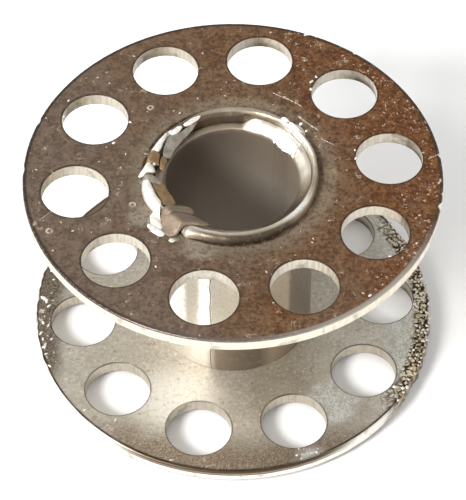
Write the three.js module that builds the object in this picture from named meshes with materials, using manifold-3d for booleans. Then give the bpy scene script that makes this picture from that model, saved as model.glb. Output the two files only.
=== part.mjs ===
// Sewing machine bobbin. Two punched disc flanges sit on a hub rolled from sheet metal, and the hub's
// ends are curled outward over the flanges to hold them. A second, shorter tube lines the bore.
// Millimetres, +Z along the bobbin's axis, origin at the centre of the lower end.
import * as THREE from "three";
import { mergeVertices } from "three/addons/utils/BufferGeometryUtils.js";
import Module from "manifold-3d";

const wasm = await Module();
wasm.setup();

// Overall size
const HEIGHT = 12;
const FLANGE_RADIUS = 10.25;
const FLANGE_THICKNESS = 0.7;
const CURL_PROUD = 0.35; // how far each curled end stands above its flange

// Hub sleeve, and the curl at each end of it
const BARREL_RADIUS = 4.0;
const SLEEVE_BORE = 3.68;
const NECK_RADIUS = 3.87; // the thinned end that passes through the flange
const CURL_RADIUS = 4.35;
const CURL_LAND = 0.12; // flat ring on the crest of the curl
const CURL_CREST_RADIUS = 4.02;

// Liner tube
const LINER_RADIUS = 3.65;
const LINER_BORE = 3.27;
const LINER_RECESS = 0.26; // from the flange's outer face down to the liner's end

// Flange details
const FLANGE_BORE = 3.9;
const COIN_RADIUS = 5.0; // the face is pressed down a little between this radius and the hub
const COIN_DEPTH = 0.08;
const COIN_SLOPE = 0.06;
const RIM_ROUND = 0.1;
const HOLE_COUNT = 10;
const HOLE_RADIUS = 1.64;
const HOLE_CIRCLE_RADIUS = 7.73;
const UPPER_HOLE_TURN = THREE.MathUtils.degToRad(8);
const LOWER_HOLE_TURN = THREE.MathUtils.degToRad(5.4);

// Seams and splits
const SLEEVE_SEAM_ANGLE = THREE.MathUtils.degToRad(254);
const LINER_SEAM_ANGLE = THREE.MathUtils.degToRad(228);
const SEAM_WIDTH = 0.12;
const SPLIT_ANGLES = [42, 177, 233].map(THREE.MathUtils.degToRad);
const SPLIT_WIDTH = 0.2;

const CLEARANCE = 0.02; // between pieces that are pressed together
const OVERCUT = 1; // how far a cutting tool runs past what it cuts

// Facets
const FLANGE_FACETS = 100;
const HUB_FACETS = 60;
const HOLE_FACETS = 24;
const ARC_STEPS = 3;

const MID_HEIGHT = HEIGHT / 2;
const OUTER_FACE = MID_HEIGHT - CURL_PROUD; // flange's outer face, measured from mid-height
const INNER_FACE = OUTER_FACE - FLANGE_THICKNESS;

function arc(centreX, centreY, radiusX, radiusY, from, to) {
  const points = [];
  for (let step = 0; step <= ARC_STEPS; step++) {
    const angle = THREE.MathUtils.degToRad(THREE.MathUtils.lerp(from, to, step / ARC_STEPS));
    points.push([centreX + radiusX * Math.cos(angle), centreY + radiusY * Math.sin(angle)]);
  }
  return points;
}

// Turns a closed outline of [radius, height] points about the Z axis.
function revolve(outline, facets) {
  const closed = [...outline, outline[0]].map(([radius, height]) => new THREE.Vector2(radius, height));
  return new THREE.LatheGeometry(closed, facets).rotateX(Math.PI / 2);
}

function solidOf(geometry) {
  const bare = geometry.clone();
  bare.deleteAttribute("normal");
  bare.deleteAttribute("uv");
  const merged = mergeVertices(bare, 1e-4);
  return new wasm.Manifold(
    new wasm.Mesh({
      numProp: 3,
      vertProperties: merged.attributes.position.array,
      triVerts: new Uint32Array(merged.index.array),
    }),
  );
}

function geometryOf(solid) {
  const { vertProperties, triVerts } = solid.getMesh();
  const geometry = new THREE.BufferGeometry();
  geometry.setAttribute("position", new THREE.BufferAttribute(vertProperties, 3));
  geometry.setIndex(new THREE.BufferAttribute(triVerts, 1));
  geometry.computeVertexNormals();
  return geometry;
}

function cut(geometry, cutters) {
  const solid = cutters.reduce((left, cutter) => left.subtract(solidOf(cutter)), solidOf(geometry));
  return geometryOf(solid);
}

// A flange lying on its inner face, with the outer face up and the first hole at holeTurn.
function flangeGeometry(holeTurn) {
  const rimCentre = FLANGE_RADIUS - RIM_ROUND;
  const disc = revolve(
    [
      [FLANGE_BORE, 0],
      ...arc(rimCentre, RIM_ROUND, RIM_ROUND, RIM_ROUND, -90, 0),
      ...arc(rimCentre, FLANGE_THICKNESS - RIM_ROUND, RIM_ROUND, RIM_ROUND, 0, 90),
      [COIN_RADIUS, FLANGE_THICKNESS],
      [COIN_RADIUS - COIN_SLOPE, FLANGE_THICKNESS - COIN_DEPTH],
      [FLANGE_BORE, FLANGE_THICKNESS - COIN_DEPTH],
    ],
    FLANGE_FACETS,
  );
  const holes = [];
  for (let index = 0; index < HOLE_COUNT; index++) {
    const length = FLANGE_THICKNESS + 2 * OVERCUT;
    const punch = new THREE.CylinderGeometry(HOLE_RADIUS, HOLE_RADIUS, length, HOLE_FACETS);
    punch.rotateX(Math.PI / 2);
    punch.translate(HOLE_CIRCLE_RADIUS, 0, FLANGE_THICKNESS / 2);
    punch.rotateZ(holeTurn + (2 * Math.PI * index) / HOLE_COUNT);
    holes.push(punch);
  }
  return cut(disc, holes);
}

// One end of the sleeve's outline, from the barrel outside to the bore inside, measured from mid-height.
function curledEnd() {
  const foot = OUTER_FACE - COIN_DEPTH + CLEARANCE;
  const outerCentre = CURL_CREST_RADIUS + CURL_LAND / 2;
  const innerCentre = CURL_CREST_RADIUS - CURL_LAND / 2;
  const innerRadius = innerCentre - SLEEVE_BORE;
  return [
    [BARREL_RADIUS, INNER_FACE - CLEARANCE],
    [NECK_RADIUS, INNER_FACE - CLEARANCE],
    [NECK_RADIUS, foot],
    ...arc(outerCentre, foot, CURL_RADIUS - outerCentre, MID_HEIGHT - foot, 0, 90),
    ...arc(innerCentre, MID_HEIGHT - innerRadius, innerRadius, innerRadius, 90, 180),
  ];
}

// A flat blade that stands on the bobbin's axis and reaches out at the given angle.
function blade(angle, width, inner, outer, low, high) {
  const slab = new THREE.BoxGeometry(outer - inner, width, high - low);
  slab.translate((inner + outer) / 2, 0, (low + high) / 2);
  return slab.rotateZ(angle);
}

// The sleeve is centred on the origin.
function sleeveGeometry() {
  const top = curledEnd();
  const bottom = top.map(([radius, height]) => [radius, -height]).reverse();
  const tube = revolve([...bottom, ...top], HUB_FACETS);
  const reach = MID_HEIGHT + OVERCUT;
  const cutters = [blade(SLEEVE_SEAM_ANGLE, SEAM_WIDTH, LINER_BORE, CURL_RADIUS + OVERCUT, -reach, reach)];
  for (const angle of SPLIT_ANGLES) {
    cutters.push(blade(angle, SPLIT_WIDTH, NECK_RADIUS, CURL_RADIUS + OVERCUT, OUTER_FACE, reach));
    cutters.push(blade(angle, SPLIT_WIDTH, NECK_RADIUS, CURL_RADIUS + OVERCUT, -reach, -OUTER_FACE));
  }
  return cut(tube, cutters);
}

// The liner is centred on the origin.
function linerGeometry() {
  const end = OUTER_FACE - LINER_RECESS;
  const tube = revolve(
    [
      [LINER_BORE, -end],
      [LINER_RADIUS, -end],
      [LINER_RADIUS, end],
      [LINER_BORE, end],
    ],
    HUB_FACETS,
  );
  const seam = blade(LINER_SEAM_ANGLE, SEAM_WIDTH, 0, LINER_RADIUS + OVERCUT, -MID_HEIGHT, MID_HEIGHT);
  return cut(tube, [seam]);
}

function piece(name, geometry, material) {
  const mesh = new THREE.Mesh(geometry, new THREE.MeshStandardMaterial(material));
  mesh.name = name;
  return mesh;
}

const bobbin = new THREE.Group();

const upperFlange = piece("upper_flange", flangeGeometry(UPPER_HOLE_TURN), {
  color: 0x7a6654,
  roughness: 0.4,
  metalness: 1,
});
upperFlange.position.z = MID_HEIGHT + INNER_FACE;
bobbin.add(upperFlange);

const lowerFlange = piece("lower_flange", flangeGeometry(-LOWER_HOLE_TURN), {
  color: 0xb5ab9c,
  roughness: 0.4,
  metalness: 1,
});
lowerFlange.rotation.x = Math.PI;
lowerFlange.position.z = MID_HEIGHT - INNER_FACE;
bobbin.add(lowerFlange);

const hubSleeve = piece("hub_sleeve", sleeveGeometry(), {
  color: 0xa89c8a,
  roughness: 0.35,
  metalness: 1,
});
hubSleeve.position.z = MID_HEIGHT;
bobbin.add(hubSleeve);

const hubLiner = piece("hub_liner", linerGeometry(), {
  color: 0x6b5c4e,
  roughness: 0.5,
  metalness: 1,
});
hubLiner.position.z = MID_HEIGHT;
bobbin.add(hubLiner);

export default bobbin;
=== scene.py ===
"""Looks of a tarnished metal sewing machine bobbin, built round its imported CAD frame.

The four CAD nodes are replaced by finer meshes of the same sizes: two punched flanges, a hub sleeve
rolled from sheet with its ends curled over the flanges, and a liner tube inside it.
Shapes are worked out in millimetres and scaled to metres when the mesh is made.
"""

import math
import random
from functools import reduce
from operator import or_

import bmesh
import bpy
from mathutils import Matrix, Vector, noise


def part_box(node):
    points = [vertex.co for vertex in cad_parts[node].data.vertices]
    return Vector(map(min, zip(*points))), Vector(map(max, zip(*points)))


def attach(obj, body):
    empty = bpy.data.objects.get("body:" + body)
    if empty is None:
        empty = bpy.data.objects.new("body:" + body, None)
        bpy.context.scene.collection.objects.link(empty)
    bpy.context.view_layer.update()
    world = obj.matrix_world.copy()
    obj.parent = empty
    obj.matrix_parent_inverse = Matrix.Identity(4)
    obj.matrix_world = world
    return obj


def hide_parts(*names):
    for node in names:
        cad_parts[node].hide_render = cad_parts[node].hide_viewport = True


MM = 0.001

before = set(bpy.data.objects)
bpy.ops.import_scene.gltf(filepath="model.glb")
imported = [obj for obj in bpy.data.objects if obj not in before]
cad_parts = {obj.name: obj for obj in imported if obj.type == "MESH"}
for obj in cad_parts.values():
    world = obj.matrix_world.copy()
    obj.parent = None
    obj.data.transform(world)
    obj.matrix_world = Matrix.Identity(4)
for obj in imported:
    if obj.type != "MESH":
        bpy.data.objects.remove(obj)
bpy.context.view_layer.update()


# --- Sizes taken from the frame, in millimetres ---

def node_box(node):
    low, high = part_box(node)
    return low / MM, high / MM


UPPER_LOW, UPPER_HIGH = node_box("upper_flange")
LOWER_LOW, LOWER_HIGH = node_box("lower_flange")
LINER_LOW, LINER_HIGH = node_box("hub_liner")

FLANGE_RADIUS = UPPER_HIGH.x
UPPER_FACE = UPPER_HIGH.z
HEIGHT = node_box("hub_sleeve")[1].z
MID_HEIGHT = HEIGHT / 2
LINER_RADIUS = LINER_HIGH.x
LINER_TOP = LINER_HIGH.z

# The rest of the CAD model's sizes. Angles are in degrees from +X, anticlockwise seen from above.
FLANGE_BORE = 3.9
COIN_DEPTH = 0.08
RIM_ROUND = 0.1
HOLE_COUNT = 10
HOLE_RADIUS = 1.64
HOLE_CIRCLE_RADIUS = 7.73
UPPER_HOLE_TURN = 8
LOWER_HOLE_TURN = 5.4
BARREL_RADIUS = 4.0
SLEEVE_BORE = 3.68
NECK_RADIUS = 3.87
LINER_BORE = 3.27
SLEEVE_SEAM_ANGLE = 254
LINER_SEAM_ANGLE = 228


# --- Camera ---

def make_camera():
    """The camera looks along +Y and down at 49 degrees, from a long lens's distance."""
    distance = 135.3
    elevation = math.radians(49.02)
    roll = math.radians(0.06)
    focus = Vector((0.01, 0, UPPER_FACE - 5.78))
    place = Vector((0, -distance * math.cos(elevation), UPPER_FACE + distance * math.sin(elevation)))
    data = bpy.data.cameras.new("camera")
    data.sensor_width = 36
    data.lens = 200
    data.clip_start = 0.01
    data.clip_end = 10
    camera = bpy.data.objects.new("camera", data)
    bpy.context.scene.collection.objects.link(camera)
    aim = (focus - place).to_track_quat("-Z", "Y").to_matrix()
    camera.rotation_euler = (aim @ Matrix.Rotation(roll, 3, "Z")).to_euler()
    camera.location = place * MM
    bpy.context.scene.camera = camera


make_camera()


# --- Shape helpers ---

def polar(radius, degrees):
    angle = math.radians(degrees)
    return radius * math.cos(angle), radius * math.sin(angle)


def around(degrees, stops):
    """A smooth value round the axis through a few (angle, value) stops, given in rising order."""
    degrees %= 360
    after = next((index for index, stop in enumerate(stops) if stop[0] > degrees), 0)
    start_angle, start = stops[after - 1]
    end_angle, end = stops[after]
    share = ((degrees - start_angle) % 360) / ((end_angle - start_angle) % 360)
    return start + (end - start) * share * share * (3 - 2 * share)


def smooth(value, low, high):
    """0 at low, 1 at high, and an S-shaped rise between them."""
    share = min(max((value - low) / (high - low), 0), 1)
    return share * share * (3 - 2 * share)


def wobble(point, size, seed=0):
    """Smooth noise from about -1 to 1 with bumps of the given size."""
    return noise.noise(Vector(point) / size + Vector((17.3, 5.1, 9.7)) * seed)


def plan_angle(point):
    return math.degrees(math.atan2(point[1], point[0])) % 360


class Shell:
    """Gathers rows of points into closed surfaces. Each patch has its own material zone."""

    def __init__(self):
        self.points = []
        self.faces = []
        self.zones = []

    def rows(self, rows, zone=0, closed=True):
        first = len(self.points)
        width = len(rows[0])
        for row in rows:
            self.points.extend(row)
        for row in range(len(rows) - 1):
            for column in range(width if closed else width - 1):
                a = first + row * width + column
                b = first + row * width + (column + 1) % width
                self.faces.append((a, b, b + width, a + width))
                self.zones.append(zone)

    def make(self, name, materials, change=None, soften=0):
        """The finished piece. change moves each point, and soften rounds the whole shape that many times."""
        mesh = bpy.data.meshes.new(name)
        mesh.from_pydata(self.points, [], self.faces)
        mesh.polygons.foreach_set("material_index", self.zones)
        work = bmesh.new()
        work.from_mesh(mesh)
        bmesh.ops.remove_doubles(work, verts=work.verts, dist=1e-4)
        bmesh.ops.dissolve_degenerate(work, edges=work.edges, dist=1e-5)
        bmesh.ops.recalc_face_normals(work, faces=work.faces)
        for _ in range(soften):
            bmesh.ops.smooth_vert(work, verts=work.verts, factor=0.5,
                                  use_axis_x=True, use_axis_y=True, use_axis_z=True)
        if change:
            for vertex in work.verts:
                vertex.co = change(vertex.co)
        bmesh.ops.scale(work, verts=work.verts, vec=(MM, MM, MM))
        work.to_mesh(mesh)
        work.free()
        mesh.polygons.foreach_set("use_smooth", [True] * len(mesh.polygons))
        mesh.set_sharp_from_angle(angle=math.radians(45))
        piece = bpy.data.objects.new(name, mesh)
        bpy.context.scene.collection.objects.link(piece)
        for material in materials:
            mesh.materials.append(material)
        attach(piece, "root")
        return piece


# --- Materials ---

class Value:
    """A number or colour that varies over a surface. Arithmetic with it adds nodes to its tree."""

    def __init__(self, paint, socket):
        self.paint = paint
        self.socket = socket

    def __add__(self, other):
        return self.paint.math("ADD", self, other)

    def __sub__(self, other):
        return self.paint.math("SUBTRACT", self, other)

    def __mul__(self, other):
        return self.paint.math("MULTIPLY", self, other)

    def __truediv__(self, other):
        return self.paint.math("DIVIDE", self, other)

    def __or__(self, other):
        """The higher of two masks."""
        return self.paint.math("MAXIMUM", self, other)

    def __abs__(self):
        return self.paint.math("ABSOLUTE", self)

    def rise(self, low, high, bottom=0.0, top=1.0):
        """bottom where the value is at low, top where it is at high, with a smooth step between."""
        node = self.paint.add("MapRange")
        node.interpolation_type = "SMOOTHSTEP"
        names = ("Value", "From Min", "From Max", "To Min", "To Max")
        for name, value in zip(names, (self, low, high, bottom, top)):
            self.paint.feed(node.inputs[name], value)
        return Value(self.paint, node.outputs[0])

    def fall(self, low, high):
        return self.rise(low, high, 1.0, 0.0)


class Paint:
    """Builds a metal's node tree. Sizes and places are in millimetres of the part."""

    def __init__(self, name):
        self.material = bpy.data.materials.new(name)
        self.material.use_nodes = True
        self.nodes = self.material.node_tree.nodes
        self.links = self.material.node_tree.links
        self.shader = self.nodes["Principled BSDF"]
        scale = self.add("VectorMath")
        scale.operation = "SCALE"
        scale.inputs["Scale"].default_value = 1 / MM
        self.feed(scale.inputs[0], self.add("TexCoord").outputs["Object"])
        self.place = scale.outputs[0]
        split = self.add("SeparateXYZ")
        self.feed(split.inputs[0], self.place)
        self.x, self.y, self.z = (Value(self, socket) for socket in split.outputs)
        self.colour = None

    def add(self, kind):
        return self.nodes.new("ShaderNode" + kind)

    def feed(self, socket, value):
        """Gives a socket a Value, another node's output, a colour or a plain number."""
        if isinstance(value, Value):
            value = value.socket
        if isinstance(value, bpy.types.NodeSocket):
            self.links.new(value, socket)
        else:
            socket.default_value = (*value, 1) if isinstance(value, tuple) else value

    def math(self, operation, a, b=0.0, clamp=False):
        node = self.add("Math")
        node.operation = operation
        node.use_clamp = clamp
        self.feed(node.inputs[0], a)
        self.feed(node.inputs[1], b)
        return Value(self, node.outputs[0])

    def length(self, a, b):
        return self.math("SQRT", a * a + b * b)

    def radius(self):
        return self.length(self.x, self.y)

    def turn(self):
        return self.math("ARCTAN2", self.y, self.x)

    def mix(self, share, first, second):
        """first where share is 0, second where it is 1."""
        node = self.add("Mix")
        node.data_type = "RGBA"
        self.feed(node.inputs["Factor"], share)
        self.feed(node.inputs[6], first)
        self.feed(node.inputs[7], second)
        return Value(self, node.outputs[2])

    def coat(self, share, tint):
        """Lays a tint over the colour so far."""
        self.colour = self.mix(share, self.colour, tint)

    def stretched(self, size, stretch, offset):
        node = self.add("Mapping")
        node.inputs["Scale"].default_value = [1 / (size * length) for length in stretch]
        node.inputs["Location"].default_value = (offset, offset * 0.7, offset * 1.3)
        self.feed(node.inputs["Vector"], self.place)
        return node.outputs[0]

    def noise(self, size, detail=3, roughness=0.55, stretch=(1, 1, 1), offset=0):
        node = self.add("TexNoise")
        node.inputs["Scale"].default_value = 1
        node.inputs["Detail"].default_value = detail
        node.inputs["Roughness"].default_value = roughness
        self.feed(node.inputs["Vector"], self.stretched(size, stretch, offset))
        return Value(self, node.outputs["Fac"])

    def seams(self, size, offset, ragged):
        """Distance to the crooked borders between the cells of an uneven grid."""
        place = self.stretched(size, (1, 1, 1), offset)
        blur = self.add("TexNoise")
        blur.inputs["Scale"].default_value = 2.2
        blur.inputs["Detail"].default_value = 2
        self.feed(blur.inputs["Vector"], place)
        push = self.add("VectorMath")
        push.operation = "MULTIPLY_ADD"
        push.inputs[1].default_value = (ragged, ragged, ragged)
        self.feed(push.inputs[0], blur.outputs["Color"])
        self.feed(push.inputs[2], place)
        cells = self.add("TexVoronoi")
        cells.voronoi_dimensions = "2D"
        cells.feature = "DISTANCE_TO_EDGE"
        cells.inputs["Scale"].default_value = 1
        self.feed(cells.inputs["Vector"], push.outputs[0])
        return Value(self, cells.outputs["Distance"])

    def bands(self, stops, warp=0.0):
        """A colour round the axis, from rising (degrees, colour) stops. warp makes their edges uneven."""
        turn = self.turn() / (2 * math.pi)
        if warp:
            turn = turn + (self.noise(0.9, 4, 0.7, offset=6) - 0.5) * (warp / 360)
        node = self.add("ValToRGB")
        self.feed(node.inputs["Fac"], self.math("FRACT", turn + 1.0))
        ramp = node.color_ramp.elements
        for degrees, colour in stops:
            ramp.new(degrees / 360).color = (*colour, 1)
        (first, early), (last, late) = stops[0], stops[-1]
        share = (360 - last) / (360 - last + first)
        join = [a + (b - a) * share for a, b in zip(late, early)]
        for end in (ramp[0], ramp[-1]):
            end.color = (*join, 1)
        return Value(self, node.outputs["Color"])

    def blob(self, x, y, inner, outer):
        """A round mask in plan: 1 within the inner radius of the point, 0 past the outer one."""
        return self.length(self.x - x, self.y - y).fall(inner, outer)

    def hole_place(self, hole_turn):
        """How far a point lies outwards of the nearest hole's centre, and its distance from that centre."""
        pitch = 2 * math.pi / HOLE_COUNT
        share = self.math("FRACT", self.turn() / pitch + (0.5 - math.radians(hole_turn) / pitch))
        swing = (share - 0.5) * pitch
        radius = self.radius()
        out = radius * self.math("COSINE", swing) - HOLE_CIRCLE_RADIUS
        return out, self.length(out, radius * self.math("SINE", swing))

    def flecks(self, size, share, offset=0):
        """Irregular spots in loose clumps. share runs from about -0.1, hardly any, to 0.1, many."""
        clump = self.noise(size * 7, 2, 0.6, offset=offset + 2) - 0.5
        return (self.noise(size, 3, 0.7, offset=offset) + clump * 0.5 + share).rise(0.7, 0.75)

    def squiggles(self, size, width, share, offset=0):
        """Thin crooked scratches, kept to that share of the surface."""
        line = abs(self.noise(size, 2, 0.6, offset=offset) - 0.5).fall(0.0, width / size)
        patch = self.noise(size * 1.3, 1, 0.5, offset=offset + 3)
        return line * patch.rise(0.78 - share, 0.83 - share)

    def finish(self, roughness, height, depth, metallic, specular=0.5):
        self.feed(self.shader.inputs["Base Color"], self.colour)
        self.feed(self.shader.inputs["Roughness"], roughness)
        self.shader.inputs["Metallic"].default_value = metallic
        self.shader.inputs["Specular IOR Level"].default_value = specular
        bump = self.add("Bump")
        bump.inputs["Strength"].default_value = 1
        bump.inputs["Distance"].default_value = depth * MM
        self.feed(bump.inputs["Height"], height)
        self.feed(self.shader.inputs["Normal"], bump.outputs[0])
        return self.material


# Painted highlight (grey, at the front) and painted shade (dark, at the sides and back) round the rim's edge
RIM_HIGHLIGHT_AND_SHADE = [(10, (0.05, 0.03, 0.018)), (180, (0.04, 0.03, 0.022)), (235, (0.06, 0.045, 0.035)),
             (275, (0.2, 0.165, 0.14)), (300, (0.42, 0.38, 0.33)), (322, (0.42, 0.38, 0.33)),
             (345, (0.08, 0.05, 0.03))]
RING_MARKS = ((-4.84, -1.92), (-8.79, -3.57), (-6.2, 4.1), (5.6, -3.3), (-4.1, 4.4))


def tarnished_face(name, hole_turn):
    """Outer faces: brown-grey tarnish, redder towards +X, mottled, with pits. Painted shade darkens the
    holes' edges and the bead's foot, and the rim's edge has a painted highlight at the front and painted
    shade at the sides.
    """
    paint = Paint(name)
    grain = paint.noise(0.2, 4, 0.8)
    mottle = paint.noise(0.7, 5, 0.8, offset=2)
    cloud = paint.noise(1.6, 3, 0.6, offset=5)
    radius = paint.radius()
    warm = paint.x * 0.06 + paint.y * 0.022 + (cloud - 0.5) * 0.8 + paint.blob(1.5, -8.8, 0.3, 3.2) * 0.35
    warm = paint.math("ADD", warm, 0.44, clamp=True)
    paint.colour = paint.mix(warm.rise(0.0, 0.55), (0.176, 0.126, 0.092), (0.172, 0.098, 0.053))
    paint.coat(warm.rise(0.5, 1.0), (0.165, 0.062, 0.022))

    # The pressed-down ring round the hub
    paint.coat(radius.rise(4.6, 6.0, 0.75, 0.0), (0.185, 0.135, 0.088))
    coined = radius.rise(4.35, 4.5) * radius.fall(4.8, 5.3)
    paint.coat(coined * paint.x.rise(-3.0, 1.5, 0.3, 0.42), (0.38, 0.31, 0.225))
    smudge = paint.blob(-4.3, -2.7, 0.3, 1.1) | paint.blob(-1.6, -4.6, 0.4, 1.3)
    paint.coat(smudge * mottle.rise(0.35, 0.6) * 0.55, (0.5, 0.45, 0.38))
    # Painted shadow round the bead's foot, faint on the +X side
    bead_foot_shadow = radius.rise(4.42, 4.56, 0.9, 0.0) * paint.x.rise(1.5, 3.6, 1.0, 0.2)
    paint.coat(bead_foot_shadow, (0.025, 0.016, 0.01))

    # Mottling
    uneven = warm.rise(0.2, 0.85, 0.75, 1.1)
    light = grain.rise(0.5, 0.62) | mottle.rise(0.5, 0.62) * 0.7
    paint.coat(light * uneven * 0.42, paint.mix(warm, (0.36, 0.27, 0.19), (0.36, 0.2, 0.095)))
    dark = grain.fall(0.37, 0.48) | mottle.fall(0.38, 0.5) * 0.7
    paint.coat(dark * uneven * 0.7, (0.045, 0.022, 0.013))

    # Dark edges: painted shade round the holes, and the rim's edge with a painted highlight at the front and
    # painted shade at the sides
    edge = paint.hole_place(hole_turn)[1].rise(HOLE_RADIUS + 0.05, HOLE_RADIUS + 0.13, 0.8, 0.0)
    paint.coat(edge * mottle.rise(0.35, 0.6, 0.35, 1.0), (0.03, 0.02, 0.014))
    paint.coat(radius.rise(9.98, 10.12, 0.0, 0.9), paint.bands(RIM_HIGHLIGHT_AND_SHADE))

    # Bright chips, scratches and ring marks
    crowd = (warm + radius * 0.05).rise(0.8, 1.45, -0.085, 0.05)
    rings = [paint.blob(x, y, 0.15, 0.2) - paint.blob(x, y, 0.05, 0.12) for x, y in RING_MARKS]
    chips = (paint.flecks(0.14, crowd, 1) | paint.flecks(0.26, crowd - 0.045, 7)
             | paint.squiggles(0.5, 0.018, 0.15, 4) * 0.55 | reduce(or_, rings) * 0.8)
    golden = paint.noise(0.3, 2, 0.6, offset=9).rise(0.4, 0.58)
    paint.coat(chips * 0.85, paint.mix(golden, (0.5, 0.32, 0.17), (0.9, 0.84, 0.73)))
    height = grain * 0.5 + mottle * 0.7 + chips * 0.7
    return paint.finish(grain.rise(0.3, 0.8, 0.34, 0.5), height, 0.018, 0.5, specular=0.25)


def satin_face(name, hole_turn, worn=False):
    """Inner faces: pale satin metal, with a painted highlight in front of the hub on the -X side and painted
    shade round the holes and the rim. Where worn, it is brown at the rim and pitted at both sides, with
    painted shadow and shade too.
    """
    paint = Paint(name)
    grain = paint.noise(0.13, 4, 0.7, offset=3)
    cloud = paint.noise(2.2, 3, 0.6, offset=8)
    paint.colour = paint.mix(cloud.rise(0.35, 0.65), (0.54, 0.495, 0.415), (0.66, 0.62, 0.54))
    paint.coat(grain.rise(0.42, 0.75, 0.0, 0.45), (0.36, 0.3, 0.22))
    # Painted highlight: a pale patch in front of the hub on the -X side
    paint.coat(paint.blob(-3.0, -6.0, 0.6, 3.2), (0.86, 0.83, 0.755))
    pale = paint.flecks(0.14, -0.07, 2) | paint.squiggles(0.7, 0.02, 0.14, 5) * 0.5
    height = grain * 0.3
    if worn:
        pale, height = wear_and_shade_satin(paint, pale, height)
    paint.coat(pale * 0.8, (0.93, 0.9, 0.83))
    # Painted shade: dark outlines round the holes and the rim
    edge = paint.hole_place(hole_turn)[1].rise(HOLE_RADIUS + 0.03, HOLE_RADIUS + 0.1, 0.8, 0.0)
    edge = edge | paint.radius().rise(9.98, 10.1)
    paint.coat(edge * cloud.rise(0.3, 0.6, 0.55, 1.0), (0.055, 0.034, 0.02))
    return paint.finish(grain.rise(0.3, 0.8, 0.46, 0.6), height + pale * 0.8, 0.014, 0.85)


def wear_and_shade_satin(paint, pale, height):
    """Stains, speckles and pits of the worn inner face, which add to its pale marks and its relief. It also
    paints shadow beside the hub on the +X side and shade over the pitted -X rim.
    """
    # Painted shadow of the upper flange beside the hub, on the +X side
    paint.coat(paint.blob(2.6, -4.8, 0.6, 3.2) * 0.5, (0.33, 0.265, 0.18))
    sand = paint.noise(0.22, 5, 0.8, offset=11)
    paint.coat(sand.rise(0.36, 0.48, 0.4, 0.0), (0.27, 0.22, 0.165))
    paint.coat(sand.rise(0.53, 0.66, 0.0, 0.5), (0.93, 0.91, 0.85))
    paint.coat(paint.squiggles(0.5, 0.016, 0.16, 12) * 0.55, (0.22, 0.17, 0.11))

    radius = paint.radius()
    ragged = (paint.noise(1.1, 4, 0.7, offset=4) - 0.5) * 2.6
    dust = paint.noise(0.08, 3, 0.7, offset=5)
    front = ragged - (paint.y + abs(paint.x) * 0.22)
    brown = radius.rise(7.2, 9.6) * front.rise(4.0, 8.0) * dust.rise(0.36, 0.6, 0.45, 1.0)
    brown = brown | paint.blob(-7.2, 6.8, 1.0, 2.4)
    paint.coat(brown * 0.95, (0.225, 0.158, 0.1))

    right = (paint.x + ragged).rise(7.0, 8.6) * paint.y.rise(-8.2, -7.0)
    patch = (paint.blob(5.0, -5.9, 1.1, 1.55) | paint.blob(4.0, -6.3, 0.3, 1.2)
             | paint.blob(3.9, -9.4, 0.4, 1.1) | right)
    patch = patch * paint.noise(0.5, 3, 0.7, offset=7).rise(0.3, 0.55)
    speckled = paint.mix(dust.rise(0.4, 0.56), (0.48, 0.475, 0.435), (0.84, 0.85, 0.8))
    paint.coat(patch * 0.85, speckled)

    # Painted shade over the pitted part of the -X rim
    left = (paint.x + ragged * 0.45).fall(-9.3, -8.3) * paint.y.rise(-6.0, -3.5)
    shade = paint.mix(dust.rise(0.4, 0.62), (0.085, 0.058, 0.038), (0.33, 0.27, 0.2))
    paint.coat(left * 0.92, shade)

    eaten = right * (radius + ragged * 0.3).rise(9.25, 9.5)
    knobs = paint.seams(0.32, 3, 1.0).rise(0.1, 0.24)
    tint = paint.noise(0.5, 2, 0.6, offset=2).rise(0.4, 0.6)
    tint = paint.mix(tint, (0.36, 0.26, 0.14), (0.8, 0.75, 0.6))
    paint.coat(eaten, paint.mix(knobs, (0.04, 0.022, 0.011), tint))

    pale = pale | left * paint.flecks(0.3, 0.05, 6) | patch * paint.flecks(0.1, 0.05, 9)
    return pale, height + eaten * knobs * 3.5 + patch * dust * 0.9


def punched_edge(name, pale, deep, top, hole_turn=None, worn=False):
    """Rims and hole walls: cut metal with faint marks across the cut. top is the height of the upper edge.
    Each hole's wall has stains, and painted shade on its outer side. A worn rim has painted shade at the
    front, dark brown with darker bands over its upper rounding, and is pitted towards +X."""
    paint = Paint(name)
    marks = paint.noise(0.14, 2, 0.6, (1, 1, 6), offset=1)
    stain = paint.noise(0.8, 3, 0.6, offset=6)
    stain_and_shade = tuple(channel * 0.3 for channel in deep)
    paint.colour = paint.mix(marks.rise(0.3, 0.65), deep, pale)
    paint.coat(stain.rise(0.54, 0.7, 0.0, 0.5), stain_and_shade)
    if hole_turn is not None:
        # Painted shade on each hole's outer wall, stronger low down and towards +X, made uneven by the
        # stains
        outwards = paint.hole_place(hole_turn)[0] + stain * 0.8
        low = paint.z.fall(top - 0.6, top - 0.2) * paint.x.rise(-2.0, 5.0, 0.3, 1.25)
        paint.coat(outwards.rise(1.45, 2.0, 0.0, 0.75) * low, stain_and_shade)
    if worn:
        # Painted shade at the front of the rim: dark brown, a darker line, and a dark band over the upper
        # rounding that damps its highlight
        front = paint.y.fall(-9.6, -7.8) * paint.z.rise(top - 0.3, top - 0.26)
        paint.coat(front * 0.95, (0.25, 0.185, 0.125))
        paint.coat(front * paint.z.fall(top - 0.25, top - 0.21), (0.07, 0.035, 0.015))
        paint.coat(front * paint.z.rise(top - 0.17, top - 0.08), (0.085, 0.06, 0.038))
        right = paint.x.rise(7.2, 8.6) * paint.y.rise(-7.6, -6.6)
        pits = paint.noise(0.3, 3, 0.7, offset=3).rise(0.4, 0.58)
        paint.coat(right, paint.mix(pits, (0.05, 0.03, 0.016), (0.4, 0.33, 0.22)))
    return paint.finish(marks.rise(0.3, 0.7, 0.36, 0.46), marks, 0.0015, 0.85)


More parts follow.
